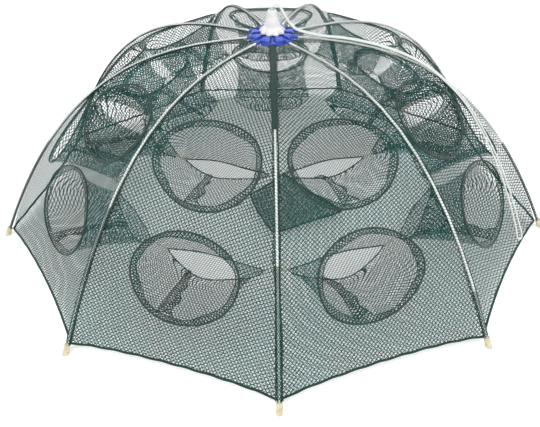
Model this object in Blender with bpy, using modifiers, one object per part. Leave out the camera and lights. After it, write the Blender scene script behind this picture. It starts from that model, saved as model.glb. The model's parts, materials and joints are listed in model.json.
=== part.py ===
"""Folding umbrella-type crab trap: nine bent rods hinged on a central hub, a net dome of nine gores with two oval
entrances each, a net floor, a bait pouch and a looped pull cord. Metres, +Z up, origin under the middle of the base's
bounding box, which lies a little behind the hub's axis because the base has nine corners."""
import math

import bmesh
import bpy
from mathutils import Matrix, Vector

# ---- driving dimensions -------------------------------------------------------------------------------------------
N = 9                    # ribs, and net gores between them
STEP = 2 * math.pi / N
FIRST = -math.pi / 2     # rib 1 points along -Y
R = 0.460                # hub axis to foot, on the ground
H = 0.3174               # hinge height
POWER = 3.2              # how the rod bends: nearly flat at the hub, steep at the foot
ROD = 0.0016             # rod radius
HINGE_R = 0.018          # radius of the hinge wire
WIRE = 0.0009
SOCKET_IN, SOCKET_OUT = 0.0265, 0.040
FOOT_R, FOOT_LEN = 0.0050, 0.015
NET_DROP = 0.0034        # the net hangs this far inside the rods' centre lines
NET_T = 0.0009
HEM_Z = 0.0165
SAG = 0.020              # how far a gore is pulled in between its rods, as a share of its radius
RING_T = 0.0016
LOW = (0.855 * R, 0.079, 0.063)    # radius along the gore of the entrance centre, half width, half height
UP = (0.625 * R, 0.077, 0.066)
HOLE_GAP = 0.0036
CORD = 0.0013

OBJECT = "folding_crab_trap"

for o in list(bpy.data.objects):
    bpy.data.objects.remove(o, do_unlink=True)
main = bpy.data.collections.new(OBJECT)
tools = bpy.data.collections.new("cutters")
for c in (main, tools):
    bpy.context.scene.collection.children.link(c)


# ---- helpers ------------------------------------------------------------------------------------------------------
def material(name, colour, rough, metal=0.0):
    m = bpy.data.materials.new(name)
    m.use_nodes = True
    b = m.node_tree.nodes["Principled BSDF"]
    b.inputs["Base Color"].default_value = (*colour, 1)
    b.inputs["Roughness"].default_value = rough
    b.inputs["Metallic"].default_value = metal
    return m


def add(name, data, mat, where=main, matrix=None):
    o = bpy.data.objects.new(name, data)
    where.objects.link(o)
    if mat is not None:
        if data.materials:
            o.material_slots[0].material = mat
        else:
            data.materials.append(mat)
    if matrix is not None:
        o.matrix_world = matrix
    return o


def cutter(name, mesh, matrix=None):
    o = add(name, mesh, None, tools, matrix)
    o.hide_render = True
    o.display_type = "WIRE"
    return o


def mesh_of(name, bm):
    bmesh.ops.recalc_face_normals(bm, faces=bm.faces)
    me = bpy.data.meshes.new(name)
    bm.to_mesh(me)
    bm.free()
    return me


def rod_mesh(name, radius, length, sides, axis="Z", radius2=None):
    """A cylinder from the origin along an axis."""
    bm = bmesh.new()
    bmesh.ops.create_cone(bm, cap_ends=True, segments=sides, radius1=radius, radius2=radius if radius2 is None else radius2, depth=length)
    bmesh.ops.translate(bm, vec=(0, 0, length / 2), verts=bm.verts)
    if axis == "X":
        bmesh.ops.rotate(bm, matrix=Matrix.Rotation(math.pi / 2, 3, "Y"), verts=bm.verts)
    if axis == "Y":
        bmesh.ops.rotate(bm, matrix=Matrix.Rotation(-math.pi / 2, 3, "X"), verts=bm.verts)
    return mesh_of(name, bm)


def box_mesh(name, lo, hi):
    bm = bmesh.new()
    bmesh.ops.create_cube(bm, size=1)
    for v in bm.verts:
        v.co = Vector([lo[i] if v.co[i] < 0 else hi[i] for i in range(3)])
    return mesh_of(name, bm)


def turned(name, profile, steps):
    """A profile (radius, height), running down its outer side, turned about Z."""
    me = bpy.data.meshes.new(name)
    me.from_pydata([(r, 0, z) for r, z in profile], [(i, i + 1) for i in range(len(profile) - 1)], [])
    o = add(name + "_profile", me, None, tools)
    s = o.modifiers.new("Screw", "SCREW")
    s.steps = s.render_steps = steps
    s.use_merge_vertices = True
    s.merge_threshold = 0.00001
    s.use_normal_calculate = True
    made = evaluated(o, name)
    bpy.data.objects.remove(o)
    return made


def evaluated(o, name):
    bpy.context.view_layer.update()
    me = bpy.data.meshes.new_from_object(o.evaluated_get(bpy.context.evaluated_depsgraph_get()))
    me.name = name
    bm = bmesh.new()
    bm.from_mesh(me)
    bmesh.ops.remove_doubles(bm, verts=bm.verts, dist=1e-6)
    bmesh.ops.recalc_face_normals(bm, faces=bm.faces)
    bm.to_mesh(me)
    bm.free()
    return me


def boolean(base, cutters, operation="DIFFERENCE"):
    """The mesh of base cut by, or joined with, each of the other meshes."""
    o = add("work", base, None, tools)
    for me in cutters:
        c = cutter("cut", me)
        m = o.modifiers.new("Boolean", "BOOLEAN")
        m.operation = operation
        m.object = c
        m.solver = "EXACT"
    made = evaluated(o, base.name)
    bpy.data.objects.remove(o)
    for c in [c for c in tools.objects if c.name.startswith("cut")]:
        bpy.data.objects.remove(c)
    return made


def tube(name, points, radius, mat, resolution=2, cyclic=False):
    cu = bpy.data.curves.new(name, "CURVE")
    cu.dimensions = "3D"
    s = cu.splines.new("POLY")
    s.points.add(len(points) - 1)
    for p, q in zip(s.points, points):
        p.co = (*q, 1)
    s.use_cyclic_u = cyclic
    cu.bevel_depth = radius
    cu.bevel_resolution = resolution
    cu.use_fill_caps = not cyclic
    cu.twist_mode = "MINIMUM"
    return add(name, cu, mat)


def smooth(me, angle=35):
    me.shade_smooth()
    me.set_sharp_from_angle(angle=math.radians(angle))
    return me


# ---- the shape of the dome ----------------------------------------------------------------------------------------
def rod_z(r):
    return H * (1 - (r / R) ** POWER)


def slope(r):
    return -H * POWER / R * (r / R) ** (POWER - 1)


def azimuth(i):
    """Of rib i, counted from 1."""
    return FIRST + (i - 1) * STEP


def radial(a):
    return Vector((math.cos(a), math.sin(a), 0))


def net_profile(r, drop=NET_DROP):
    """(radius, height) of the net under the rod's point at radius r; below the hub it dips to clear it."""
    g = slope(r)
    n = 1 / math.hypot(1, g)
    dip = 0.0090 * math.exp(-((r / 0.045) ** 2))
    return r + g * n * drop, rod_z(r) - n * drop - dip


def gore(i, r, t, drop=NET_DROP, inset=0.0):
    """The point of gore i, between ribs i and i + 1, at t from 0 to 1 across and rod radius r down."""
    pr, pz = net_profile(r, drop)
    a, b = radial(azimuth(i)), radial(azimuth(i + 1))
    chord = (b - a).length * pr
    t = min(max(t, inset / chord), 1 - inset / chord)
    p = (a.lerp(b, t)) * pr * (1 - SAG * 4 * t * (1 - t))
    return Vector((p.x, p.y, pz))


def hem_r():
    lo, hi = 0.5 * R, R
    for _ in range(60):
        mid = (lo + hi) / 2
        lo, hi = (mid, hi) if net_profile(mid)[1] > HEM_Z else (lo, mid)
    return lo


HEM = hem_r()


def gore_frame(i, centre):
    """Position and in-surface directions (across, down, out) of gore i at an entrance's centre."""
    p = gore(i, centre, 0.5)
    down = (gore(i, centre + 0.002, 0.5) - gore(i, centre - 0.002, 0.5)).normalized()
    across = (gore(i, centre, 0.75) - gore(i, centre, 0.25)).normalized()
    return p, across, down, across.cross(down).normalized()


def on_gore(i, entrance, angle, grow=0.0):
    """A point of the oval round an entrance, laid on the gore."""
    centre, half_w, half_h = entrance
    s = (half_h + grow) * math.sin(angle)
    r = centre
    step = s / 24                                    # arc length down the profile
    for _ in range(24):
        r += step / math.hypot(1, slope(r))
    width = (gore(i, r, 1) - gore(i, r, 0)).length
    return gore(i, r, 0.5 + (half_w + grow) * math.cos(angle) / width)


# ---- materials ----------------------------------------------------------------------------------------------------
BLUE = material("blue_plastic", (0.02, 0.07, 0.55), 0.35)
WHITE = material("white_plastic", (0.86, 0.86, 0.84), 0.4)
STEEL = material("hinge_wire", (0.6, 0.6, 0.6), 0.3, 1.0)
FIBRE = material("fibreglass_rod", (0.85, 0.86, 0.84), 0.45)
TAN = material("foot_plastic", (0.55, 0.5, 0.36), 0.5)
GREEN = material("green_net", (0.02, 0.11, 0.07), 0.75)
DARK = material("green_wire", (0.01, 0.07, 0.045), 0.5)
LINE = material("white_cord", (0.82, 0.83, 0.8), 0.8)

# ---- hub ----------------------------------------------------------------------------------------------------------
base = turned("hub_base", [(0, H + 0.0060), (0.0300, H + 0.0060), (0.0325, H + 0.0035), (0.0325, H - 0.0040), (0.0300, H - 0.0060), (0, H - 0.0060)], 36)
slots = []
for i in range(1, N + 1):
    s = box_mesh("slot", (0.0128, -0.0043, H - 0.02), (0.045, 0.0043, H + 0.02))
    s.transform(Matrix.Rotation(azimuth(i), 4, "Z"))
    slots.append(s)
groove = turned("groove", [(0.0196, H + 0.02), (0.0196, H - 0.0013), (0.0164, H - 0.0013), (0.0164, H + 0.02), (0.0196, H + 0.02)], 36)
add("hub_base", smooth(boolean(base, slots + [groove])), BLUE)

TIP = H + 0.041
cap = turned("hub_cap", [(0, TIP - 0.008), (0.0038, TIP - 0.008), (0.0038, TIP), (0.0056, TIP), (0.0070, TIP - 0.0016), (0.0080, TIP - 0.010), (0.0103, TIP - 0.0165), (0.0112, TIP - 0.0215),
                         (0.0120, TIP - 0.0250), (0.0165, TIP - 0.0295), (0.0185, TIP - 0.0325), (0.0185, H + 0.0063), (0, H + 0.0063)], 36)
for v in cap.vertices:
    rr = math.hypot(v.co.x, v.co.y)
    if rr > 0.0105:
        lobe = 1 + 0.11 * (rr - 0.0105) / 0.008 * math.cos(N * (math.atan2(v.co.y, v.co.x) - FIRST - STEP / 2))
        v.co.x *= lobe
        v.co.y *= lobe
add("hub_cap", smooth(cap), WHITE)

tube("hinge_wire", [(HINGE_R * math.cos(k * math.pi / 13.5), HINGE_R * math.sin(k * math.pi / 13.5), H) for k in range(27)], WIRE, STEEL, 1, cyclic=True)

# ---- one knuckle, rod and foot, repeated round the hub ------------------------------------------------------------
eye = rod_mesh("knuckle", 0.0040, 0.0066, 14, "Y")
eye.transform(Matrix.Translation((HINGE_R, -0.0033, 0)))
barrel = rod_mesh("barrel", 0.0034, SOCKET_OUT - 0.0195, 12, "X")
barrel.transform(Matrix.Translation((0.0195, 0, 0)))
bore = rod_mesh("bore", 0.0017, 0.012, 10, "Y")
bore.transform(Matrix.Translation((HINGE_R, -0.006, 0)))
socket = rod_mesh("socket", ROD + 0.0003, 0.02, 10, "X")
socket.transform(Matrix.Translation((SOCKET_IN, 0, 0)))
knuckle = boolean(boolean(eye, [barrel], "UNION"), [bore, socket])
knuckle.transform(Matrix.Translation((0, 0, H)))
smooth(knuckle)

end = Vector((1, 0, slope(R))).normalized()          # the rod's direction at the foot
foot = rod_mesh("foot", FOOT_R * 0.86, FOOT_LEN + 0.012, 16, "Z", FOOT_R)
turn = Vector((0, 0, 1)).rotation_difference(end).to_matrix().to_4x4()
foot.transform(Matrix.Translation(Vector((R, 0, 0)) - end * FOOT_LEN) @ turn)
hole = rod_mesh("foot_hole", ROD + 0.0003, 0.02, 10)
hole.transform(Matrix.Translation(Vector((R, 0, 0)) - end * (FOOT_LEN + 0.01)) @ turn)
hole_end = 0.02 - 0.01 - FOOT_LEN                     # where the hole stops, measured from the ground point
ground = box_mesh("ground", (R - 0.05, -0.05, -0.05), (R + 0.05, 0.05, 0))
foot = smooth(boolean(foot, [ground, hole]))

straight = 0.014
last = Vector((R, 0, 0)) + end * (hole_end - 0.0004)
rod_points = [(SOCKET_IN + 0.0004, 0, H), (SOCKET_OUT, 0, H)]
count = 13
for k in range(1, count + 1):
    u = k / count
    r = SOCKET_OUT + (R - straight * end.x - SOCKET_OUT) * (1 - (1 - u) ** 1.25)
    rod_points.append((r, 0, rod_z(r)))
rod_points.append(tuple(last))

for i in range(1, N + 1):
    turn_i = Matrix.Rotation(azimuth(i), 4, "Z")
    pivot = turn_i @ Vector((HINGE_R, 0, H))
    holder = bpy.data.objects.new(f"hinge_{i}", None)   # on the rib's hinge axis
    main.objects.link(holder)
    holder.matrix_world = Matrix.Translation(pivot) @ turn_i
    back = Matrix.Translation((-HINGE_R, 0, -H))
    o = tube(f"rib_{i}", [Vector(p) - Vector((HINGE_R, 0, H)) for p in rod_points], ROD, FIBRE, 2)
    parts = [o]
    for name, me, mat in ((f"knuckle_{i}", knuckle, BLUE), (f"foot_{i}", foot, TAN)):
        if i == 1:
            me.transform(back)
        parts.append(add(name, me, mat))
    for p in parts:
        p.parent = holder

# ---- net gores, entrance rings, floor -----------------------------------------------------------------------------
ROWS, COLS = 9, 4
for i in range(1, N + 1):
    bm = bmesh.new()
    rows = []
    for j in range(ROWS + 1):
        r = 0.022 + (HEM - 0.022) * (1 - (1 - j / ROWS) ** 1.2)
        rows.append([bm.verts.new(gore(i, r, c / COLS, inset=0.0007)) for c in range(COLS + 1)])
    for a, b in zip(rows, rows[1:]):
        for c in range(COLS):
            bm.faces.new((a[c], b[c], b[c + 1], a[c + 1]))
    panel = add("panel", mesh_of("panel", bm), None, tools)
    s = panel.modifiers.new("Solidify", "SOLIDIFY")
    s.thickness = NET_T
    s.offset = 0
    cut = []
    for entrance in (LOW, UP):
        p, across, down, out = gore_frame(i, entrance[0])
        ring = [on_gore(i, entrance, k * math.pi / 8, HOLE_GAP / math.cos(math.pi / 16)) for k in range(16)]
        bm = bmesh.new()
        low = [bm.verts.new(q - out * ((q - p).dot(out) + 0.03)) for q in ring]
        top = [bm.verts.new(q - out * ((q - p).dot(out) - 0.03)) for q in ring]
        bm.faces.new(low)
        bm.faces.new(top)
        for k in range(16):
            bm.faces.new((low[k], low[(k + 1) % 16], top[(k + 1) % 16], top[k]))
        cut.append(mesh_of("entrance", bm))
    solid = evaluated(panel, f"net_panel_{i}")
    bpy.data.objects.remove(panel)
    add(f"net_panel_{i}", smooth(boolean(solid, cut), 50), GREEN)
    for name, entrance in (("ring_lower", LOW), ("ring_upper", UP)):
        tube(f"{name}_{i}", [on_gore(i, entrance, k * math.pi / 8) for k in range(16)], RING_T, DARK, 1, cyclic=True)

FLOOR_EDGE = net_profile(HEM)[0] - 0.0045
bm = bmesh.new()
centre = bm.verts.new((0, 0, 0.0035))
previous = None
for ring in (0.35, 0.7, 1.0):
    loop = []
    for k in range(2 * N):
        a = FIRST + k * STEP / 2
        r = FLOOR_EDGE * ring * (1.0 if k % 2 == 0 else math.cos(STEP / 2) * (1 - SAG))
        loop.append(bm.verts.new((r * math.cos(a), r * math.sin(a), 0.0035 + 0.0095 * ring ** 3)))
    for k in range(2 * N):
        n = (k + 1) % (2 * N)
        bm.faces.new((centre, loop[k], loop[n]) if previous is None else (previous[k], loop[k], loop[n], previous[n]))
    previous = loop
floor = add("floor_net", mesh_of("floor_net", bm), GREEN)
s = floor.modifiers.new("Solidify", "SOLIDIFY")
s.thickness = NET_T
s.offset = 0

# ---- bait pouch: a flat soft bag lying on the floor net ------------------------------------------------------------
bm = bmesh.new()
bmesh.ops.create_uvsphere(bm, u_segments=16, v_segments=8, radius=1.0)
for v in bm.verts:
    x, y, z = v.co
    corner = 1 + 0.22 * abs(math.sin(2 * math.atan2(y, x)))
    v.co = Vector((x * 0.068 * corner, y * 0.050 * corner, z * 0.013))
pouch = mesh_of("bait_pouch", bm)
pouch.transform(Matrix.Translation((0.034, -0.020, 0.0190)) @ Matrix.Rotation(math.radians(-24), 4, "Z"))
add("bait_pouch", smooth(pouch, 80), GREEN)

# ---- pull cord: one loop, out of the cap, along rib 3 and down gore 2 to the hem, and back -------------------------
def cord_route():
    """Centre line between the two strands, and half the distance between them."""
    along = radial(azimuth(3))
    route = [(Vector((0, 0, TIP - 0.0076)), 0.0018), (Vector((0, 0, TIP + 0.0005)), 0.0018)]
    for x, z in ((0.0022, 0.0062), (0.0085, 0.0075), (0.0140, 0.0020), (0.0215, -0.0110), (0.0310, -0.0240), (0.0440, -0.0312)):
        route.append((along * x + Vector((0, 0, TIP + z)), 0.0021))
    for share, t in ((0.17, 1.0), (0.25, 1.0), (0.34, 0.997), (0.43, 0.99), (0.52, 0.975), (0.60, 0.95), (0.68, 0.915), (0.76, 0.87), (0.84, 0.825), (0.91, 0.78), (0.965, 0.745), (0.985, 0.728)):
        lift = 0.0090 if t > 0.96 else 0.0078 if t > 0.9 else 0.0062
        half = 0.0021 + 0.0034 * max(0.0, (share - 0.5) / 0.5) ** 1.5
        route.append((gore(2, share * HEM, t, NET_DROP - lift), half))
    return route


def catmull(points, n):
    """A smooth curve through points, with n steps to each span."""
    p = [points[0] * 2 - points[1]] + points + [points[-1] * 2 - points[-2]]
    out = []
    for k in range(1, len(p) - 2):
        for j in range(n):
            u = j / n
            out.append(0.5 * (2 * p[k] + (p[k + 1] - p[k - 1]) * u + (2 * p[k - 1] - 5 * p[k] + 4 * p[k + 1] - p[k + 2]) * u * u + (3 * p[k] - p[k - 1] - 3 * p[k + 1] + p[k + 2]) * u ** 3))
    return out + [points[-1]]


def cord_points():
    route = cord_route()
    sides = []
    for sign in (-1, 1):
        line = []
        for k, (p, half) in enumerate(route):
            q = route[min(k + 1, len(route) - 1)][0] - route[max(k - 1, 0)][0]
            side = Vector((0, 0, 1)).cross(q)
            if side.length < 1e-4 or k < 2:
                side = Vector((0, 0, 1)).cross(radial(azimuth(3)))
            line.append(p + side.normalized() * half * sign)
        sides.append(line)
    tail, before = route[-1][0], route[-2][0]
    onward = (tail - before).normalized()
    bend = [tail + onward * 0.0052]
    return catmull(sides[0] + bend + sides[1][::-1], 2)


tube("pull_cord", cord_points(), CORD, LINE, 2)

# ---- origin: the middle of the base's bounding box, on the ground ---------------------------------------------------
feet = [Matrix.Rotation(azimuth(i), 4, "Z") @ (v.co + Vector((HINGE_R, 0, H))) for i in range(1, N + 1) for v in foot.vertices]
shift = Vector((-(min(p.x for p in feet) + max(p.x for p in feet)) / 2, -(min(p.y for p in feet) + max(p.y for p in feet)) / 2, 0))
bpy.context.view_layer.update()
for o in main.objects:
    if o.parent is None:
        o.location = o.location + shift
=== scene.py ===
"""Looks for the folding crab trap: netting, funnels, hoops, hems, cord and materials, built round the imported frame."""
import json
import math

import bmesh
import bpy
from mathutils import Matrix, Vector
from mathutils.geometry import delaunay_2d_cdt


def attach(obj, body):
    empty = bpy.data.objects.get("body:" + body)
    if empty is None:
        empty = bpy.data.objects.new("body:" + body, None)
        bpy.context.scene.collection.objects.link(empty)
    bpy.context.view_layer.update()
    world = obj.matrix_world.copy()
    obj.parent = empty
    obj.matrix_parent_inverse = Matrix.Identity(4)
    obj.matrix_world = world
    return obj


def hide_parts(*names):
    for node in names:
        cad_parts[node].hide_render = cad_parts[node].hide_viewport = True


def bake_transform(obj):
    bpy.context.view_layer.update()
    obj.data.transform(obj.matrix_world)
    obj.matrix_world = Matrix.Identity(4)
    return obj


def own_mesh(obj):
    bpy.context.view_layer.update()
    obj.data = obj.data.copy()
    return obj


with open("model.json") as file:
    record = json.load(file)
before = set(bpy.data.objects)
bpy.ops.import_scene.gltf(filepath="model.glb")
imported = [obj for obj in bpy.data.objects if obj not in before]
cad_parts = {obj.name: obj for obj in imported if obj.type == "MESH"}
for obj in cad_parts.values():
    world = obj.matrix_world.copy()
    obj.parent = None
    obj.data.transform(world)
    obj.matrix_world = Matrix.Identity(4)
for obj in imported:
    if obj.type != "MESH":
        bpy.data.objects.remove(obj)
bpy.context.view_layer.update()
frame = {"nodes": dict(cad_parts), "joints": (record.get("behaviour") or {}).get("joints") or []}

# ---- the same driving dimensions as the CAD -----------------------------------------------------------------------
N = 9
STEP = 2 * math.pi / N
FIRST = -math.pi / 2
R, H, POWER = 0.460, 0.3174, 3.2
HINGE_R = 0.018
NET_DROP = 0.0034
HEM_Z = 0.0165
SAG = 0.020
LOW = (0.855 * R, 0.079, 0.063)
UP = (0.625 * R, 0.077, 0.066)
CORD = 0.0013
TIP = H + 0.041
joint = {j["name"]: j for j in frame["joints"]}
AXIS = Vector((0, joint["rib_fold_1"]["pos_m"][1] + HINGE_R, 0))      # the hub's axis in the row frame
PITCH = 0.0045


def rod_z(r):
    return H * (1 - (r / R) ** POWER)


def slope(r):
    return -H * POWER / R * (r / R) ** (POWER - 1)


def azimuth(i):
    return FIRST + (i - 1) * STEP


def radial(a):
    return Vector((math.cos(a), math.sin(a), 0))


def tangent(a):
    return Vector((-math.sin(a), math.cos(a), 0))


def net_profile(r, drop=NET_DROP):
    g = slope(r)
    n = 1 / math.hypot(1, g)
    dip = 0.0090 * math.exp(-((r / 0.045) ** 2))
    return r + g * n * drop, rod_z(r) - n * drop - dip


def local(i, r, t, drop=NET_DROP):
    """A point of gore i in coordinates about the hub's axis."""
    pr, pz = net_profile(r, drop)
    a, b = radial(azimuth(i)), radial(azimuth(i + 1))
    p = a.lerp(b, t) * pr * (1 - SAG * 4 * t * (1 - t))
    return Vector((p.x, p.y, pz))


def gore(i, r, t, drop=NET_DROP):
    p = local(i, r, t, drop) + AXIS
    low = max(0.0, (r - 0.955 * R) / (0.03 * R))
    p.z -= 0.0045 * min(low, 1.0) * abs(2 * t - 1) ** 6
    return p


def hem_r():
    lo, hi = 0.5 * R, R
    for _ in range(60):
        mid = (lo + hi) / 2
        lo, hi = (mid, hi) if net_profile(mid)[1] > HEM_Z else (lo, mid)
    return lo


HEM = hem_r()
TOP = 0.022

# arc length down the net's profile, so that the netting's squares keep their size
ARC = [(TOP, 0.0)]
while ARC[-1][0] < HEM:
    r = ARC[-1][0] + 0.002
    a, b = net_profile(ARC[-1][0]), net_profile(r)
    ARC.append((r, ARC[-1][1] + math.hypot(b[0] - a[0], b[1] - a[1])))


def r_at(s):
    if s <= 0:
        return TOP + s
    for (r0, s0), (r1, s1) in zip(ARC, ARC[1:]):
        if s <= s1:
            return r0 + (r1 - r0) * (s - s0) / (s1 - s0)
    return ARC[-1][0]


def s_at(r):
    for (r0, s0), (r1, s1) in zip(ARC, ARC[1:]):
        if r <= r1:
            return s0 + (s1 - s0) * (r - r0) / (r1 - r0)
    return ARC[-1][1]


def width_at(s):
    return 2 * math.sin(STEP / 2) * net_profile(r_at(s))[0]


LENGTH = s_at(HEM)


def flat_to_gore(i, u, s, lift=0.0):
    """A point of the flat cut, u across and s down, laid on gore i."""
    return gore(i, r_at(s), 0.5 + u / max(width_at(s), 1e-4), NET_DROP - lift)


# ---- materials ----------------------------------------------------------------------------------------------------
class Nodes:
    def __init__(self, name):
        self.m = bpy.data.materials.new(name)
        self.m.use_nodes = True
        self.t = self.m.node_tree
        self.b = self.t.nodes["Principled BSDF"]

    def node(self, kind, **values):
        n = self.t.nodes.new(kind)
        for k, v in values.items():
            if hasattr(n, k):
                setattr(n, k, v)
        return n

    def link(self, a, b):
        self.t.links.new(a, b)

    def math(self, op, a, b=None, c=None, clamp=False):
        n = self.t.nodes.new("ShaderNodeMath")
        n.operation = op
        n.use_clamp = clamp
        for socket, value in zip(n.inputs, (a, b, c)):
            if value is None:
                continue
            if isinstance(value, (int, float)):
                socket.default_value = value
            else:
                self.link(value, socket)
        return n.outputs[0]

    def ramp(self, fac, stops):
        n = self.t.nodes.new("ShaderNodeValToRGB")
        e = n.color_ramp.elements
        while len(e) < len(stops):
            e.new(0.5)
        for x, (p, c) in zip(e, stops):
            x.position, x.color = p, (*c, 1)
        self.link(fac, n.inputs[0])
        return n.outputs[0]

    def noise(self, scale, detail=3, vector=None, rough=0.5):
        n = self.t.nodes.new("ShaderNodeTexNoise")
        n.inputs["Scale"].default_value = scale
        n.inputs["Detail"].default_value = detail
        n.inputs["Roughness"].default_value = rough
        self.link(self.coords() if vector is None else vector, n.inputs["Vector"])
        return n.outputs["Fac"]

    def coords(self):
        n = self.t.nodes.new("ShaderNodeTexCoord")
        return n.outputs["Object"]

    def bump(self, height, distance, strength=1.0):
        n = self.t.nodes.new("ShaderNodeBump")
        n.inputs["Distance"].default_value = distance
        n.inputs["Strength"].default_value = strength
        self.link(height, n.inputs["Height"])
        self.link(n.outputs[0], self.b.inputs["Normal"])


def netting(name, pitch, strand, dark, light, rough=0.62, angle=0.0, knots=1.25, clarity=1.0):
    """Knotless netting: square openings between twisted strands, drawn over the UV map, which is in metres."""
    k = Nodes(name)
    uv = k.node("ShaderNodeUVMap", uv_map="UVMap")
    turn = k.node("ShaderNodeMapping")
    turn.inputs["Rotation"].default_value = (0, 0, angle)
    k.link(uv.outputs[0], turn.inputs["Vector"])
    wander = k.node("ShaderNodeTexNoise")
    wander.inputs["Scale"].default_value = 34.0
    wander.inputs["Detail"].default_value = 1.5
    k.link(turn.outputs[0], wander.inputs["Vector"])
    shift = k.node("ShaderNodeVectorMath", operation="MULTIPLY_ADD")
    k.link(wander.outputs["Color"], shift.inputs[0])
    shift.inputs[1].default_value = (0.0022, 0.0022, 0)
    k.link(turn.outputs[0], shift.inputs[2])
    split = k.node("ShaderNodeSeparateXYZ")
    k.link(shift.outputs[0], split.inputs[0])
    near = []
    for axis in ("X", "Y"):
        cell = k.math("FRACT", k.math("MULTIPLY", split.outputs[axis], 1 / pitch))
        near.append(k.math("ABSOLUTE", k.math("SUBTRACT", cell, 0.5)))      # 0.5 on a strand, 0 between strands
    edge = 0.5 - strand / pitch / 2 - 0.004
    soft = 0.045
    lines = [k.math("DIVIDE", k.math("SUBTRACT", x, edge - soft), 2 * soft, clamp=True) for x in near]
    knot = k.math("DIVIDE", k.math("SUBTRACT", k.math("ADD", near[0], near[1]), 2 * edge - 0.05 * knots), 0.05, clamp=True)
    alpha = k.math("MAXIMUM", k.math("MAXIMUM", lines[0], lines[1]), k.math("MULTIPLY", knot, 1.0 if knots > 1 else 0.0))
    if clarity < 1:
        alpha = k.math("MULTIPLY", alpha, clarity)
    k.link(alpha, k.b.inputs["Alpha"])
    mixed = k.math("ADD", k.math("MULTIPLY", k.noise(9.0, 4), 0.75), k.math("MULTIPLY", k.noise(240.0, 2), 0.25))
    k.link(k.ramp(mixed, [(0.32, dark), (0.68, light)]), k.b.inputs["Base Color"])
    height = k.math("MAXIMUM", near[0], near[1])
    twist = k.math("SINE", k.math("MULTIPLY", k.math("ADD", split.outputs["X"], split.outputs["Y"]), 5200.0))
    k.bump(k.math("ADD", height, k.math("MULTIPLY", twist, 0.05)), 0.0006, 0.6)
    k.b.inputs["Roughness"].default_value = rough
    k.b.inputs["Specular IOR Level"].default_value = 0.16
    k.b.inputs["Sheen Weight"].default_value = 0.04
    k.b.inputs["Sheen Roughness"].default_value = 0.5
    return k.m


def cloth_band(name, dark, light, thread=0.0011):
    """Dense doubled netting round a hem or a hoop: threads across and along, no openings."""
    k = Nodes(name)
    uv = k.node("ShaderNodeUVMap", uv_map="UVMap")
    split = k.node("ShaderNodeSeparateXYZ")
    k.link(uv.outputs[0], split.inputs[0])
    a = k.math("SINE", k.math("MULTIPLY", k.math("ADD", split.outputs["X"], split.outputs["Y"]), 2 * math.pi / thread))
    b = k.math("SINE", k.math("MULTIPLY", k.math("SUBTRACT", split.outputs["X"], split.outputs["Y"]), 2 * math.pi / thread))
    weave = k.math("MULTIPLY", k.math("ADD", k.math("MAXIMUM", a, b), 1.0), 0.5)
    mixed = k.math("ADD", k.math("MULTIPLY", weave, 0.55), k.math("MULTIPLY", k.noise(30.0, 3), 0.45))
    k.link(k.ramp(mixed, [(0.25, dark), (0.75, light)]), k.b.inputs["Base Color"])
    k.bump(weave, 0.0005, 0.8)
    k.b.inputs["Roughness"].default_value = 0.7
    k.b.inputs["Specular IOR Level"].default_value = 0.35
    k.b.inputs["Sheen Weight"].default_value = 0.05
    return k.m


def plastic(name, dark, light, rough, scale=60.0, bump=0.00012, coat=0.0, subsurface=0.0, spots=0.0):
    k = Nodes(name)
    broad, fine = k.noise(scale, 4), k.noise(scale * 22, 2)
    k.link(k.ramp(broad, [(0.3, dark), (0.7, light)]), k.b.inputs["Base Color"])
    k.link(k.math("ADD", k.math("MULTIPLY", k.noise(scale * 3, 3), 0.18), rough - 0.09, clamp=True), k.b.inputs["Roughness"])
    k.bump(k.math("ADD", k.math("MULTIPLY", fine, 0.5), broad), bump, 0.7)
    k.b.inputs["Coat Weight"].default_value = coat
    k.b.inputs["Subsurface Weight"].default_value = subsurface
    k.b.inputs["Subsurface Radius"].default_value = (0.002, 0.0018, 0.0014)
    return k.m


def streaked(name, dark, light, rough):
    """Pultruded fibreglass: fine fibres along the rod, a few green threads' rub marks."""
    k = Nodes(name)
    n = k.noise(420.0, 4, rough=0.7)
    broad = k.noise(14.0, 2)
    mixed = k.math("ADD", k.math("MULTIPLY", n, 0.6), k.math("MULTIPLY", broad, 0.4))
    k.link(k.ramp(mixed, [(0.3, dark), (0.62, light)]), k.b.inputs["Base Color"])
    k.bump(n, 0.0002, 0.6)
    k.b.inputs["Roughness"].default_value = rough
    k.b.inputs["Coat Weight"].default_value = 0.15
    return k.m


def braid(name, dark, light, thread=0.0016):
    k = Nodes(name)
    uv = k.node("ShaderNodeUVMap", uv_map="UVMap")
    split = k.node("ShaderNodeSeparateXYZ")
    k.link(uv.outputs[0], split.inputs[0])
    around = k.math("MULTIPLY", split.outputs["X"], 2 * math.pi * 3)
    along = k.math("MULTIPLY", split.outputs["Y"], 2 * math.pi / (thread * 2))
    a = k.math("SINE", k.math("ADD", around, along))
    b = k.math("SINE", k.math("SUBTRACT", around, along))
    weave = k.math("MULTIPLY", k.math("ADD", k.math("MAXIMUM", a, b), 1.0), 0.5)
    k.link(k.ramp(k.math("ADD", k.math("MULTIPLY", weave, 0.7), k.math("MULTIPLY", k.noise(90.0, 2), 0.3)), [(0.2, dark), (0.7, light)]), k.b.inputs["Base Color"])
    k.bump(weave, 0.0004, 0.8)
    k.b.inputs["Roughness"].default_value = 0.75
    k.b.inputs["Sheen Weight"].default_value = 0.2
    return k.m


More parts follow.
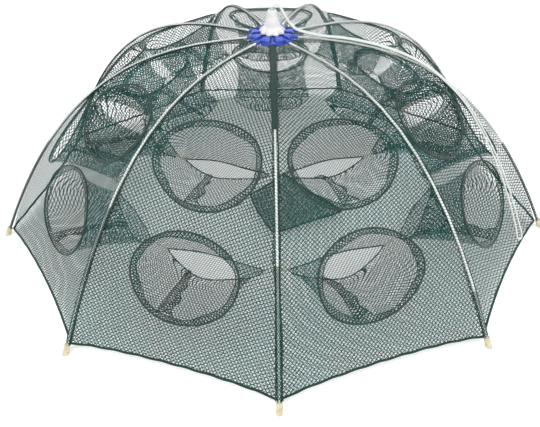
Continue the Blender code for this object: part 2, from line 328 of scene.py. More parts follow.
DARK, LIGHT = (0.0008, 0.028, 0.0240), (0.0030, 0.082, 0.073)
NET_A = netting("net_a", PITCH, 0.00096, DARK, LIGHT, angle=math.radians(33))
NET_B = netting("net_b", PITCH, 0.00096, DARK, LIGHT, angle=math.radians(-29))
# The floor netting's colours are a little lighter than the gores' netting: painted light, offsetting the shade that the
# dome casts on the floor.
NET_FLOOR_PAINTED_LIGHTER = netting("net_floor", PITCH, 0.00076, (0.0010, 0.034, 0.030), (0.0040, 0.092, 0.083), angle=math.radians(24))
NET_FUNNEL = netting("net_funnel", PITCH * 0.86, 0.00082, DARK, LIGHT, angle=math.radians(38))
NET_POUCH = netting("net_pouch", 0.0030, 0.00066, (0.0010, 0.024, 0.0180), (0.0045, 0.070, 0.055), angle=math.radians(20))
BAND = cloth_band("net_hem", (0.0012, 0.014, 0.010), (0.0060, 0.046, 0.033))
COLLAR = netting("net_collar", PITCH * 0.80, 0.00112, (0.0008, 0.018, 0.014), (0.0030, 0.055, 0.044), angle=math.radians(45))
TIE_M = cloth_band("tie_cord", (0.42, 0.36, 0.24), (0.66, 0.60, 0.44), 0.0009)
SEAM = netting("net_seam", PITCH * 0.62, 0.00110, (0.0012, 0.016, 0.012), (0.0060, 0.052, 0.038), angle=math.radians(40))
WIRE_M = plastic("hoop_coating", (0.0010, 0.013, 0.009), (0.0040, 0.034, 0.024), 0.50, 90)
THREAD = cloth_band("lashing_thread", (0.002, 0.020, 0.015), (0.008, 0.055, 0.040), 0.0006)
BLUE = plastic("hub_blue", (0.024, 0.055, 0.36), (0.050, 0.100, 0.52), 0.36, 70, 0.00016, coat=0.2)
WHITE = plastic("cap_white", (0.56, 0.55, 0.55), (0.68, 0.67, 0.68), 0.38, 60, 0.00012, coat=0.15, subsurface=0.08)
TAN = plastic("foot_tan", (0.40, 0.35, 0.22), (0.60, 0.55, 0.40), 0.42, 160, 0.00018, subsurface=0.2)
STEEL = plastic("hinge_steel", (0.45, 0.45, 0.46), (0.62, 0.62, 0.63), 0.32, 200)
STEEL.node_tree.nodes["Principled BSDF"].inputs["Metallic"].default_value = 1.0
ROD = streaked("rod_fibreglass", (0.40, 0.45, 0.42), (0.74, 0.77, 0.75), 0.42)
CORD_M = braid("cord_braid", (0.36, 0.39, 0.36), (0.70, 0.73, 0.70))

for name, o in frame["nodes"].items():
    m = (BLUE if name == "hub_base" or name.startswith("knuckle") else WHITE if name == "hub_cap" else STEEL if name == "hinge_wire"
         else ROD if name.startswith("rib_") else TAN if name.startswith("foot") else None)
    if m is not None:
        if not o.material_slots:
            o.data.materials.append(m)
        for s in o.material_slots:
            s.material = m


# ---- making pieces ------------------------------------------------------------------------------------------------
def piece(name, points, faces, uvs, mats, slots=None, smooth=True):
    """uvs holds one (u, v) in metres per point, or per face a list of them."""
    me = bpy.data.meshes.new(name)
    me.from_pydata([tuple(p) for p in points], [], faces)
    layer = me.uv_layers.new(name="UVMap")
    per_face = len(uvs) == len(faces) and len(faces) > 0 and isinstance(uvs[0][0], (tuple, list))
    for f, poly in enumerate(me.polygons):
        for k, li in enumerate(poly.loop_indices):
            layer.data[li].uv = uvs[f][k] if per_face else uvs[me.loops[li].vertex_index]
    for m in mats:
        me.materials.append(m)
    if slots:
        for poly, s in zip(me.polygons, slots):
            poly.material_index = s
    if smooth:
        me.shade_smooth()
    o = bpy.data.objects.new(name, me)
    bpy.context.scene.collection.objects.link(o)
    return o


def area_of(o):
    bm = bmesh.new()
    bm.from_mesh(o.data)
    total = sum(f.calc_area() for f in bm.faces)
    bm.free()
    return total


def cloth(o, width, length):
    """Width and length are the box round o's flat cut; works out the cut's own area, held within 0.301 to 1 times that
    box, and keeps nothing.
    """
    width, length = round(width, 4), round(length, 4)
    area = min(max(area_of(o), 0.301 * width * length), width * length)


def gather(o):
    """Gives o its own copy of its mesh data."""
    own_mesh(o)


def sweep(points, radius, sides, closed=False, start=0, squash=1.0):
    """Points, faces and UVs (turns round, metres along) of a tube along points."""
    n = len(points)
    out, faces, uv = [], [], []
    normal = None
    total = 0.0
    rows = n + 1 if closed else n
    for k in range(n):
        a = points[k - 1] if (k > 0 or closed) else points[k]
        b = points[(k + 1) % n] if (k < n - 1 or closed) else points[k]
        d = (b - a).normalized()
        if normal is None:
            normal = d.orthogonal().normalized()
        normal = (normal - d * normal.dot(d)).normalized()
        side = d.cross(normal)
        for j in range(sides):
            w = 2 * math.pi * j / sides
            out.append(points[k] + (normal * math.cos(w) + side * math.sin(w) * squash) * radius)
    lengths = [0.0]
    for k in range(1, rows):
        lengths.append(lengths[-1] + (points[k % n] - points[k - 1]).length)
    for k in range(rows - 1):
        for j in range(sides):
            q = (j + 1) % sides
            a, b = k * sides, ((k + 1) % n) * sides
            faces.append([start + a + j, start + b + j, start + b + q, start + a + q])
            uv.append([(j / sides, lengths[k]), (j / sides, lengths[k + 1]), ((j + 1) / sides, lengths[k + 1]), ((j + 1) / sides, lengths[k])])
    if not closed:
        faces.append([start + j for j in range(sides)])
        uv.append([(0.5 + 0.3 * math.cos(j), 0.0) for j in range(sides)])
        faces.append([start + (n - 1) * sides + j for j in reversed(range(sides))])
        uv.append([(0.5 + 0.3 * math.cos(j), lengths[n - 1]) for j in range(sides)])
    return out, faces, uv


def wave(*terms):
    return sum(math.sin(t) for t in terms) / len(terms)


# ---- gores --------------------------------------------------------------------------------------------------------
def uneven(i, entrance, w):
    """Hand-made hoops aren't true ovals; each differs by a few millimetres."""
    k = i * 1.7 + (0.9 if entrance is UP else 0.0)
    return 1 + 0.020 * math.sin(3 * w + k) + 0.016 * math.sin(2 * w + 2.3 * k) + 0.007 * math.sin(5 * w + 1.1 * k)


def oval(i, entrance, w, grow=0.0):
    """Flat coordinates of a point round an entrance."""
    centre, half_w, half_h = entrance
    k = uneven(i, entrance, w)
    return (half_w * k + grow) * math.cos(w), s_at(centre) + (half_h * k + grow) * math.sin(w)


def inside(i, entrance, u, s, grow=0.0):
    centre, half_w, half_h = entrance
    x, y = u / (half_w + grow), (s - s_at(centre)) / (half_h + grow)
    return math.hypot(x, y) < uneven(i, entrance, math.atan2(y, x))


def relief(i, u, s):
    """How far the netting stands off its smooth surface: slack between the rods, drawn flat at hoops and seams."""
    width = width_at(s)
    t = min(max(0.5 + u / max(width, 1e-4), 0), 1)
    edge = 4 * t * (1 - t)
    near = 1.0
    for entrance in (LOW, UP):
        d = math.hypot(u / entrance[1], (s - s_at(entrance[0])) / entrance[2])
        near *= min(max((d - 1.0) / 0.55, 0), 1)
    ends = min(s / 0.05, 1) * min(max((LENGTH - s) / 0.03, 0), 1)
    ripple = wave(u * 70 + i * 1.7, s * 55 + i * 2.3, (u + s) * 48 + i) * 0.0022
    folds = math.sin(u * 160 + i * 2) * 0.0012 * math.exp(-(s / 0.12))
    return (ripple * near * edge + folds) * ends


def make_gore(i):
    step = 0.0088
    points, edges = [], []

    def chain(coords, closed):
        first = len(points)
        points.extend(Vector(c) for c in coords)
        n = len(coords)
        for k in range(n if closed else n - 1):
            edges.append((first + k, first + (k + 1) % n))
    rows = int(LENGTH / step)
    sides = []
    for k in range(rows + 1):
        s = LENGTH * k / rows
        sides.append((s, width_at(s) / 2 - 0.0006))
    top = [(-sides[0][1] + 2 * sides[0][1] * q / 3, 0.0) for q in range(4)]
    bottom_n = int(2 * sides[-1][1] / step)
    bottom = [(sides[-1][1] - 2 * sides[-1][1] * q / bottom_n, LENGTH) for q in range(bottom_n + 1)]
    outline = top + [(w, s) for s, w in sides[1:-1]] + bottom + [(-w, s) for s, w in reversed(sides[1:-1])]
    chain(outline, True)
    for entrance in (LOW, UP):
        chain([oval(i, entrance, 2 * math.pi * k / 56, 0.0004) for k in range(56)], True)
    for k in range(1, rows):
        s, w = sides[k]
        across = max(int(2 * w / step), 1)
        for q in range(1, across):
            u = -w + 2 * w * (q + (0.5 if k % 2 else 0.0) - 0.25) / across
            if not any(inside(i, e, u, s, 0.004) for e in (LOW, UP)) and abs(u) < w - 0.002:
                points.append(Vector((u, s)))
    verts, _, faces, _, _, _ = delaunay_2d_cdt(points, edges, [], 1, 1e-6)
    kept = []
    for f in faces:
        c = sum((verts[k] for k in f), Vector((0, 0))) / len(f)
        if any(inside(i, e, c.x, c.y) for e in (LOW, UP)):
            continue
        kept.append(list(f))
    place = [flat_to_gore(i, v.x, v.y, relief(i, v.x, v.y)) for v in verts]
    o = piece(f"net_gore_{i}", place, kept, [(v.x, v.y) for v in verts], [NET_A if i % 2 else NET_B])
    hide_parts(f"net_panel_{i}")
    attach(o, f"gore_{i}")
    gather(o)
    return o


# ---- entrance hoops with their wrapped hem, and the funnels behind them ---------------------------------------------
def make_hoop(i, kind, entrance):
    """The sprung wire in its casing of folded netting: a dark outer edge, a stitched inner edge and netting between."""
    n = 72
    ring = [flat_to_gore(i, *oval(i, entrance, 2 * math.pi * k / n), 0.0004) for k in range(n)]
    pts, faces, uv = sweep(ring, 0.0015, 8, closed=True)
    slots = [0] * len(faces)

    def width(w):
        return 0.0078 + 0.0020 * math.sin(3 * w + i * 1.3) + 0.0012 * math.sin(7 * w + i * 2.1 + (1 if kind == "lower" else 3))
    inner = []
    for k in range(n):
        w = 2 * math.pi * k / n
        inner.append(flat_to_gore(i, *oval(i, entrance, w, -width(w)), -0.0016))
    more, more_faces, more_uv = sweep(inner, 0.00065, 6, closed=True, start=len(pts))
    pts, faces, uv, slots = pts + more, faces + more_faces, uv + more_uv, slots + [0] * len(more_faces)
    around = sum((ring[k] - ring[k - 1]).length for k in range(n))
    for layer, lift in ((0, 0.0012),):
        base, m = len(pts), 4
        for k in range(n):
            w = 2 * math.pi * k / n
            for j in range(m + 1):
                q = j / m
                pts.append(flat_to_gore(i, *oval(i, entrance, w, 0.0004 - (width(w) + 0.0002) * q), lift * (1 - q) - 0.0016 * q + 0.0008 * math.sin(math.pi * q) * (1 - 2 * layer)))
        for k in range(n):
            for j in range(m):
                p, q = base + k * (m + 1) + j, base + ((k + 1) % n) * (m + 1) + j
                faces.append([p, q, q + 1, p + 1])
                x0, x1 = around * k / n, around * (k + 1) / n
                y0, y1 = 0.008 * j / m + layer * 0.0017, 0.008 * (j + 1) / m + layer * 0.0017
                uv.append([(x0, y0), (x1, y0), (x1, y1), (x0, y1)])
                slots.append(1)
    o = piece(f"hoop_{kind}_{i}", pts, faces, uv, [WIRE_M, COLLAR], slots)
    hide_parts(f"ring_{kind}_{i}")
    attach(o, f"gore_{i}")
    gather(o)
    return o


MOUTH = {"lower": (0.2597, 0.0761, 0.0764, 0.036), "upper": (0.2000, 0.0640, 0.2000, 0.019)}


def make_funnel(i, kind, entrance):
    """A sleeve from the hoop inwards to a wide slit, whose two corners are held by short ties to the next sleeves' corners."""
    n, rows = 72, 18
    mid = azimuth(i) + STEP / 2
    rho, half, z, drop = MOUTH[kind]
    out, along = radial(mid), tangent(mid)
    heart = AXIS + out * rho + Vector((0, 0, z))
    centre = gore(i, entrance[0], 0.5)
    lean = 0.14 * math.sin(i * 2.3 + (0 if kind == "lower" else 1.5))

    def lip(w):
        c, s = math.cos(w), math.sin(w)
        side = math.copysign(abs(c) ** 0.72, c)
        bow = 1 - side * side
        p = heart + along * half * side
        if s > 0:                                            # lower lip, slack
            sag = drop * bow ** 0.75 * (1 + 0.10 * math.sin(4 * side + i))
            p += Vector((0, 0, -sag)) + out * 0.16 * sag + along * 0.007 * bow * math.sin(i * 1.9)
        else:                                                # upper lip, taut
            p += Vector((0, 0, 0.0022 * bow * (1 + math.sin(3 * side + i)))) - out * 0.004 * bow
        return p

    def at(w, q):
        a, b = flat_to_gore(i, *oval(i, entrance, w, -0.0016), -0.0012), lip(w)
        x = a.lerp(b, q)
        axis = centre.lerp(heart, q)
        inward = axis - x
        if inward.length > 1e-6:
            x = x + inward.normalized() * 4 * q * (1 - q) * (0.0055 + 0.0035 * math.sin(2 * w + i) ** 2)
            fold = math.sin(9 * w + i * 2.1 + (1 if kind == "lower" else 4)) * 0.5 + math.sin(5 * w + i) * 0.5
            x = x - inward.normalized() * fold * 0.0026 * math.sin(math.pi * q) ** 0.8
        return x
    pts = [at(2 * math.pi * j / n, k / rows) for k in range(rows + 1) for j in range(n)]
    faces, face_uv = [], []
    girth0 = math.pi * (entrance[1] + entrance[2])
    long = 0.118 if kind == "lower" else 0.105

    def flat(p, sign):
        """Each half of the sleeve is nearly a plane through the slit's line, so it unrolls by the distance from that line."""
        v = p - heart
        u = v.dot(along)
        return (u, sign * (v - along * u).length)
    for k in range(rows):
        for j in range(n):
            q = (j + 1) % n
            f = [k * n + j, k * n + q, (k + 1) * n + q, (k + 1) * n + j]
            faces.append(f)
            face_uv.append([flat(pts[x], 1 if j < n // 2 else -1) for x in f])
    o = piece(f"funnel_{kind}_{i}", pts, faces, face_uv, [NET_FUNNEL])
    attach(o, f"gore_{i}")
    gather(o)
    # the slit's hem, and the sleeve's own lengthwise seam with its overlap left inside
    mouth = [pts[rows * n + j] for j in range(n)]
    t_pts, t_faces, t_uv = sweep(mouth, 0.0009, 6, closed=True)
    slots = [0] * len(t_faces)
    where = math.pi / 2 + 0.32 + lean
    base, cols, steps = len(t_pts), 3, 22
    for k in range(steps + 1):
        q = 0.985 * k / steps
        wide = 0.30 * (1 - 0.72 * q) * (1 + 0.2 * math.sin(k * 0.9 + i))
        for c in range(cols + 1):
            x = c / cols
            p = at(where - wide * x, q)
            away = (centre.lerp(heart, q) - p).normalized()
            t_pts.append(p + away * (0.0022 + 0.0075 * math.sin(x * math.pi * 0.8) * (1 - 0.5 * q)))
    for k in range(steps):
        for c in range(cols):
            a, b = base + k * (cols + 1) + c, base + (k + 1) * (cols + 1) + c
            t_faces.append([a, b, b + 1, a + 1])
            x0, x1, y0, y1 = 0.014 * c / cols, 0.014 * (c + 1) / cols, long * k / steps, long * (k + 1) / steps
            t_uv.append([(x0, y0), (x0, y1), (x1, y1), (x1, y0)])
            slots.append(1)
    for edge in (0, cols):
        line = [t_pts[base + k * (cols + 1) + edge] for k in range(steps + 1)]
        e_pts, e_faces, e_uv = sweep(line, 0.0007, 5, start=len(t_pts))
        t_pts, t_faces, t_uv, slots = t_pts + e_pts, t_faces + e_faces, t_uv + e_uv, slots + [0] * len(e_faces)
    hem = piece(f"slit_hem_{kind}_{i}", t_pts, t_faces, t_uv, [BAND, COLLAR], slots)
    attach(hem, f"gore_{i}")
    gather(hem)
    width = max(girth0, area_of(o) / long) * 1.02
    cloth(o, width, long)


def make_ties(i):
    """Short ties between the sleeves' corners on both sides of rod i, one for each row of entrances."""
    for kind in ("lower", "upper"):
        rho, half, z, _ = MOUTH[kind]
        ends = []
        for g, sign in (((i - 2) % N + 1, 1), (i, -1)):
            mid = azimuth(g) + STEP / 2
            ends.append(AXIS + radial(mid) * rho + tangent(mid) * half * sign + Vector((0, 0, z)))
        line = []
        for k in range(9):
            t = -0.12 + 1.24 * k / 8
            p = ends[0].lerp(ends[1], t)
            line.append(p + Vector((0, 0, -0.0016 * math.sin(math.pi * k / 8) + 0.0004 * math.sin(k * 2 + i))))
        pts, faces, uv = sweep(line, 0.00085, 6)
        for end in ends:
            more, more_f, more_uv = sweep([end + Vector((0, 0, x)) + radial(azimuth(i)) * y for x, y in ((-0.002, -0.001), (0.0, 0.0015), (0.002, -0.0005))], 0.0016, 7, start=len(pts))
            pts, faces, uv = pts + more, faces + more_f, uv + more_uv
        o = piece(f"tie_{kind}_{i}", pts, faces, uv, [TIE_M])
        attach(o, f"rib_{i}")
        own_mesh(o)


# ---- seams under the rods, sleeves near the feet, lashings ------------------------------------------------------------
def on_rib(i, r, lateral, height):
    """A point beside rod i: lateral metres to its left, height above its centre line along the profile's normal."""
    a = azimuth(i)
    g = slope(r)
    n = 1 / math.hypot(1, g)
    return AXIS + radial(a) * (r - g * n * height) + Vector((0, 0, rod_z(r) + n * height)) + tangent(a) * lateral


def make_seam(i):
    """Two gores sewn edge to edge under the rod: a doubled strip of netting with a rolled cord edge."""
    rows, cols = 90, 4
    pts, uv, faces = [], [], []
    lengths = 0.0
    last = None
    for k in range(rows + 1):
        r = 0.040 + (HEM - 0.040) * k / rows
        half = 0.0042 + 0.0012 * math.sin(r * 90 + i) + (0.004 * math.exp(-((r - 0.05) / 0.05) ** 2))
        half = min(half, 0.25 * r)
        centre = on_rib(i, r, 0, 0)
        lengths += (centre - last).length if last else 0
        last = centre
        for c in range(cols + 1):
            x = -1 + 2 * c / cols
            dip = 0.0090 * math.exp(-((r / 0.045) ** 2))
            p = on_rib(i, r, x * half + 0.0012 * math.sin(r * 60 + 2 * i), -0.0022 - 0.0007 * abs(x) - dip)
            pts.append(p)
            uv.append((x * half, lengths))
    for k in range(rows):
        for c in range(cols):
            a, b = k * (cols + 1) + c, (k + 1) * (cols + 1) + c
            faces.append([a, b, b + 1, a + 1])
    o = piece(f"seam_{i}", pts, faces, uv, [SEAM])
    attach(o, f"rib_{i}")
    # rolled edge cord beside the rod
    line = []
    for k in range(100):
        r = 0.046 + (HEM + 0.002 - 0.046) * k / 99
        line.append(on_rib(i, r, 0.0034 + 0.0006 * math.sin(r * 75 + i), -0.0010))
    pts, faces, uv = sweep(line, 0.00095, 7)
    roll = piece(f"seam_roll_{i}", pts, faces, uv, [BAND])
    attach(roll, f"rib_{i}")
    return [o, roll]


SLEEVE = {1: (0.50, 0.795), 9: (0.0, 0.755), 2: (0.0, 0.915)}


def make_lashing(i):
    """Thread turns that tie the rod to the seam, and the closed sleeve that hides the rod's last stretch."""
    pts, faces, uv = [], [], []

    def turn(r, size, lean):
        ring = []
        d = (on_rib(i, r + 0.001, 0, 0) - on_rib(i, r - 0.001, 0, 0)).normalized()
        for j in range(9):
            w = 2 * math.pi * j / 9
            ring.append(on_rib(i, r, math.cos(w) * size, math.sin(w) * size) + d * lean * math.cos(w))
        a, b, c = sweep(ring, 0.00028, 4, closed=True, start=len(pts))
        pts.extend(a)
        faces.extend(b)
        uv.extend(c)
    first, covered = SLEEVE.get(i, (0.0, 0.800 + 0.02 * math.sin(i * 2.2)))
    r = max(0.058, first * R)
    while r < covered * R:
        turn(r, 0.00176, 0.0012)
        r += 0.0044 / math.hypot(1, slope(r))
    lash = piece(f"lashing_{i}", pts, faces, uv, [THREAD])
    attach(lash, f"rib_{i}")

    pts, faces, face_uv, slots = [], [], [], []

    def channel(low, high, rows, wide0, wide1, cover=1):
        """Netting folded over the rod: two sewn edges and open netting across."""
        cols = 8
        base, length = len(pts), 0.0
        for k in range(rows + 1):
            r = (low + (high - low) * k / rows) * R
            if k:
                length += (on_rib(i, r, 0, 0) - on_rib(i, last, 0, 0)).length
            last = r
            size = wide0 + (wide1 - wide0) * k / rows + 0.0004 * math.sin(k * 1.3 + i)
            for c in range(cols + 1):
                x = -1 + 2 * c / cols
                pts.append(on_rib(i, r, x * size, 0.0030 * (1 - x * x) ** 0.6 - 0.0012))
        for k in range(rows):
            for c in range(cols):
                a, b = base + k * (cols + 1) + c, base + (k + 1) * (cols + 1) + c
                faces.append([a, b, b + 1, a + 1])
                x0, x1 = 0.012 * c / cols, 0.012 * (c + 1) / cols
                y0, y1 = length * k / rows, length * (k + 1) / rows
                face_uv.append([(x0, y0), (x0, y1), (x1, y1), (x1, y0)])
                slots.append(cover)
        for edge in (0, cols):
            line = [pts[base + k * (cols + 1) + edge] for k in range(rows + 1)]
            e_pts, e_faces, e_uv = sweep(line, 0.0009, 6, start=len(pts))
            pts.extend(e_pts)
            faces.extend(e_faces)
            face_uv.extend(e_uv)
            slots.extend([0] * len(e_faces))
    channel(covered, 0.985, 44, 0.0026, 0.0044)
    if first > 0:
        channel(0.075, first, 44, 0.0046, 0.0034, 0)
    sleeve = piece(f"rod_sleeve_{i}", pts, faces, face_uv, [BAND, COLLAR], slots)
    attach(sleeve, f"rib_{i}")
    return [lash, sleeve]


# ---- bottom hem and floor -------------------------------------------------------------------------------------------
def make_hem(i):
    line = [gore(i, HEM, 0.004 + 0.992 * k / 60, NET_DROP) + Vector((0, 0, -0.0012 + 0.0007 * math.sin(k * 0.9 + i))) for k in range(61)]
    pts, faces, uv = sweep(line, 0.0017, 8)
    o = piece(f"hem_{i}", pts, faces, uv, [BAND])
    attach(o, f"gore_{i}")
    gather(o)
    return o


FLOOR_EDGE = net_profile(HEM)[0] - 0.0006


def make_floor(i):
    """The floor's sector under gore i, in strips, because the floor gathers at the hem as the ribs close."""
    a, b = radial(azimuth(i)), radial(azimuth(i + 1))
    strips = ((0.0, 0.22, f"rib_{i}"), (0.22, 0.78, f"gore_{i}"), (0.78, 1.0, f"rib_{i % N + 1}"))
    for k, (t0, t1, body) in enumerate(strips):
        cols = 6 if k != 1 else 12
        rows = 28
        pts, uv, faces = [], [], []
        for m in range(rows + 1):
            ring = m / rows
            for c in range(cols + 1):
                t = t0 + (t1 - t0) * c / cols
                p = a.lerp(b, t) * FLOOR_EDGE * (1 - SAG * 4 * t * (1 - t) * ring) * ring
                z = 0.0036 + 0.0112 * ring ** 3
                calm = min(ring / 0.2, 1) * (1 - ring ** 6)
                z += 0.0012 * calm * wave(p.x * 60, p.y * 52 + 1, (p.x - p.y) * 41)
                pts.append(Vector((p.x, p.y, max(z, 0.0010))) + AXIS)
                uv.append((p.x, p.y))
        for m in range(rows):
            for c in range(cols):
                q, w = m * (cols + 1) + c, (m + 1) * (cols + 1) + c
                faces.append([q, w, w + 1, q + 1])
        o = piece(f"floor_{i}_{'abc'[k]}", pts, faces, uv, [NET_FLOOR_PAINTED_LIGHTER])
        if i == 1 and k == 0:
            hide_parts("floor_net")
        mid_t = (t0 + t1) / 2
        edge = a.lerp(b, mid_t) * FLOOR_EDGE
        width = (a - b).length * FLOOR_EDGE * (t1 - t0)
        cloth(o, width, edge.length)
        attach(o, body)
        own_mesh(o)


# ---- bait pouch -----------------------------------------------------------------------------------------------------
def make_pouch():
    """A flat drawstring bag of finer netting, slack, lying on the floor."""
    corner = [(-0.0415, 0.004), (-0.012, 0.034), (0.021, 0.070), (0.062, 0.016), (0.116, -0.047), (0.060, -0.076), (-0.001, -0.105), (-0.026, -0.052)]
    n, rows = 80, 9
    middle = Vector((0.0305, -0.0195, 0))

    def outline(w):
        x = (w / (2 * math.pi)) * len(corner)
        k, f = int(x) % len(corner), x - int(x)
        p0, p1, p2, p3 = (Vector((*corner[(k + d) % len(corner)], 0)) - middle for d in (-1, 0, 1, 2))
        soft = 0.45
        a, b = p1.lerp(p2, f), 0.5 * (2 * p1 + (p2 - p0) * f + (2 * p0 - 5 * p1 + 4 * p2 - p3) * f * f + (3 * p1 - p0 - 3 * p2 + p3) * f ** 3)
        return a.lerp(b, soft)
    turn = Matrix.Identity(3)
    base = AXIS + middle
    pts, uv, faces = [], [], []
    for side in (1, -1):
        first = len(pts)
        for m in range(rows + 1):
            q = m / rows
            for j in range(n):
                w = 2 * math.pi * j / n
                p = outline(w) * q
                lift = math.sqrt(max(1 - q ** 2.4, 0)) * 0.0075
                z = 0.0150 + side * lift + 0.0016 * side * wave(p.x * 130, p.y * 150 + 1.2, (p.x + p.y) * 95) * (1 - q ** 4)
                v = turn @ Vector((p.x, p.y, 0))
                pts.append(base + Vector((v.x, v.y, z)))
                uv.append((p.x, p.y))
        for m in range(rows):
            for j in range(n):
                q = (j + 1) % n
                a, b = first + m * n, first + (m + 1) * n
                f = [a + j, b + j, b + q, a + q]
                faces.append(f if side > 0 else f[::-1])
    o = piece("bait_pouch_net", pts, faces, uv, [NET_POUCH])
    bm = bmesh.new()
    bm.from_mesh(o.data)
    bmesh.ops.remove_doubles(bm, verts=bm.verts, dist=1e-5)
    bm.to_mesh(o.data)
    bm.free()
    o.data.shade_smooth()
    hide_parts("bait_pouch")
    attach(o, "hub")
    # stitched edge and the gathered mouth
    edge = []
    for j in range(n):
        p = outline(2 * math.pi * j / n)
        v = turn @ Vector((p.x, p.y, 0))
        edge.append(base + Vector((v.x, v.y, 0.0150)))
    t_pts, t_faces, t_uv = sweep(edge, 0.0014, 7, closed=True)
    rim = piece("bait_pouch_edge", t_pts, t_faces, t_uv, [BAND])
    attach(rim, "hub")
    flap_pts, flap_uv, flap_faces = [], [], []
    for m in range(7):
        for j in range(25):
            w = 2 * math.pi * (0.25 + 0.25 * j / 24)
            p = outline(w) * (1.0 - 0.060 * m)
            v = turn @ Vector((p.x, p.y, 0))
            z = 0.0162 + 0.0078 * math.sin(m / 6 * math.pi * 0.5) + 0.0010 * math.sin(j * 1.1 + m)
            flap_pts.append(base + Vector((v.x, v.y, z)))
            flap_uv.append((j * 0.004, m * 0.005))
    for m in range(6):
        for j in range(24):
            a, b = m * 25 + j, (m + 1) * 25 + j
            flap_faces.append([a, b, b + 1, a + 1])
    flap = piece("bait_pouch_flap", flap_pts, flap_faces, flap_uv, [SEAM])
    cloth(flap, 0.13, 0.035)
    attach(flap, "hub")


# ---- pull cord: the CAD's route ---------------------------------------------------------------------------------------
def cord_route():
    along = radial(azimuth(3))
    route = [(Vector((0, 0, TIP - 0.0076)), 0.0018), (Vector((0, 0, TIP + 0.0005)), 0.0018)]
    for x, z in ((0.0022, 0.0062), (0.0085, 0.0075), (0.0140, 0.0020), (0.0215, -0.0110), (0.0310, -0.0240), (0.0440, -0.0312)):
        route.append((along * x + Vector((0, 0, TIP + z)), 0.0021))
    for share, t in ((0.17, 1.0), (0.25, 1.0), (0.34, 0.997), (0.43, 0.99), (0.52, 0.975), (0.60, 0.95), (0.68, 0.915), (0.76, 0.87), (0.84, 0.825), (0.91, 0.78), (0.965, 0.745), (0.985, 0.728)):
        lift = 0.0090 if t > 0.96 else 0.0078 if t > 0.9 else 0.0062
        half = 0.0021 + 0.0034 * max(0.0, (share - 0.5) / 0.5) ** 1.5
        route.append((local(2, share * HEM, t, NET_DROP - lift), half))
    return route


def catmull(points, n):
    p = [points[0] * 2 - points[1]] + points + [points[-1] * 2 - points[-2]]
    out = []
    for k in range(1, len(p) - 2):
        for j in range(n):
            u = j / n
            out.append(0.5 * (2 * p[k] + (p[k + 1] - p[k - 1]) * u + (2 * p[k - 1] - 5 * p[k] + 4 * p[k + 1] - p[k + 2]) * u * u + (3 * p[k] - p[k - 1] - 3 * p[k + 1] + p[k + 2]) * u ** 3))
    return out + [points[-1]]


def make_cord():
    route = cord_route()
    sides = []
    for sign in (-1, 1):
        line = []
        for k, (p, half) in enumerate(route):
            q = route[min(k + 1, len(route) - 1)][0] - route[max(k - 1, 0)][0]
            side = Vector((0, 0, 1)).cross(q)
            if side.length < 1e-4 or k < 2:
                side = Vector((0, 0, 1)).cross(radial(azimuth(3)))
            line.append(p + side.normalized() * half * sign)
        sides.append(line)
    tail, before = route[-1][0], route[-2][0]
    onward = (tail - before).normalized()
    path = [p + AXIS for p in catmull(sides[0] + [tail + onward * 0.0052] + sides[1][::-1], 8)]
    pts, faces, uv = sweep(path, CORD, 10)
    o = piece("pull_cord_loop", pts, faces, uv, [CORD_M])
    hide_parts("pull_cord")
    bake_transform(o)


for i in range(1, N + 1):
    panel = make_gore(i)
    going = []
    for kind, entrance in (("lower", LOW), ("upper", UP)):
        going.append(make_hoop(i, kind, entrance))
        make_funnel(i, kind, entrance)
    going += make_seam(i) + make_lashing(i) + [make_hem(i)]
    make_ties(i)
    cloth(panel, width_at(LENGTH), LENGTH)
for i in range(1, N + 1):
    make_floor(i)
make_pouch()
make_cord()

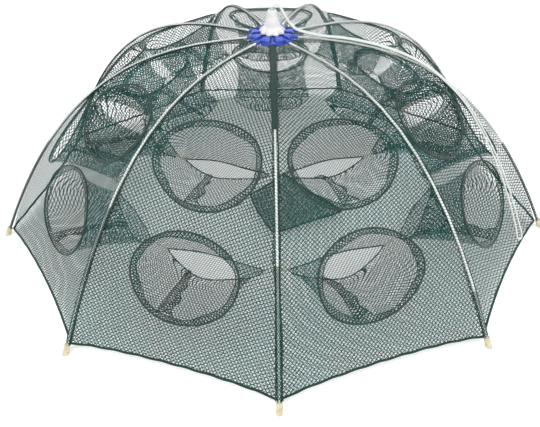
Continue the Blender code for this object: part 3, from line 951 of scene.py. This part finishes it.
# ---- stage, light, camera -----------------------------------------------------------------------------------------
bm = bmesh.new()
bmesh.ops.create_grid(bm, x_segments=2, y_segments=2, size=9.0)
me = bpy.data.meshes.new("floor")
bm.to_mesh(me)
bm.free()
floor = bpy.data.objects.new("floor", me)
floor.location = (0, 0, -0.0005)
bpy.context.scene.collection.objects.link(floor)
fm = bpy.data.materials.new("stage_floor")
fm.use_nodes = True
fm.node_tree.nodes["Principled BSDF"].inputs["Base Color"].default_value = (0.93, 0.93, 0.93, 1)
fm.node_tree.nodes["Principled BSDF"].inputs["Roughness"].default_value = 0.9
fm.node_tree.nodes["Principled BSDF"].inputs["Emission Color"].default_value = (1, 1, 1, 1)
fm.node_tree.nodes["Principled BSDF"].inputs["Emission Strength"].default_value = 0.22
me.materials.append(fm)

world = bpy.data.worlds.new("studio")
world.use_nodes = True
world.node_tree.nodes["Background"].inputs[0].default_value = (1, 1, 1, 1)
world.node_tree.nodes["Background"].inputs[1].default_value = 1.15
bpy.context.scene.world = world


def light(name, place, target, size, power):
    d = bpy.data.lights.new(name, "AREA")
    d.shape = "SQUARE"
    d.size = size
    d.energy = power
    o = bpy.data.objects.new(name, d)
    o.location = place
    o.rotation_mode = "QUATERNION"
    o.rotation_quaternion = (Vector(target) - Vector(place)).to_track_quat("-Z", "Y")
    bpy.context.scene.collection.objects.link(o)


light("key", (-1.2, -1.8, 2.4), (0, 0, 0.1), 1.6, 34)
light("fill", (1.9, -1.0, 1.8), (0, 0, 0.1), 1.8, 18)

focal, distance, pitch, yaw, cx, cy, roll = 719.857, 2.809 * R, 35.781, 0.579, 273.895, 202.798, -0.519
p, y, ro = (math.radians(v) for v in (pitch, yaw, roll))
back = Vector((0, -math.cos(p), math.sin(p)))
right = Vector((1, 0, 0))
up = back.cross(right)
right, up = right * math.cos(ro) + up * math.sin(ro), up * math.cos(ro) - right * math.sin(ro)
turn = Matrix.Rotation(-y, 3, "Z")
back, right, up = turn @ back, turn @ right, turn @ up
cam_data = bpy.data.cameras.new("camera")
cam_data.sensor_width = 36
cam_data.lens = focal / 540 * 36
cam_data.shift_x = -(cx - 270) / 540
cam_data.shift_y = (cy - 213.5) / 540
cam = bpy.data.objects.new("camera", cam_data)
where = AXIS + back * distance
cam.matrix_world = Matrix(((right.x, up.x, back.x, where.x), (right.y, up.y, back.y, where.y), (right.z, up.z, back.z, where.z), (0, 0, 0, 1)))
bpy.context.scene.collection.objects.link(cam)
bpy.context.scene.camera = cam
bpy.context.scene.view_settings.view_transform = "Standard"
bpy.context.scene.cycles.transparent_max_bounces = 32

bpy.context.view_layer.update()
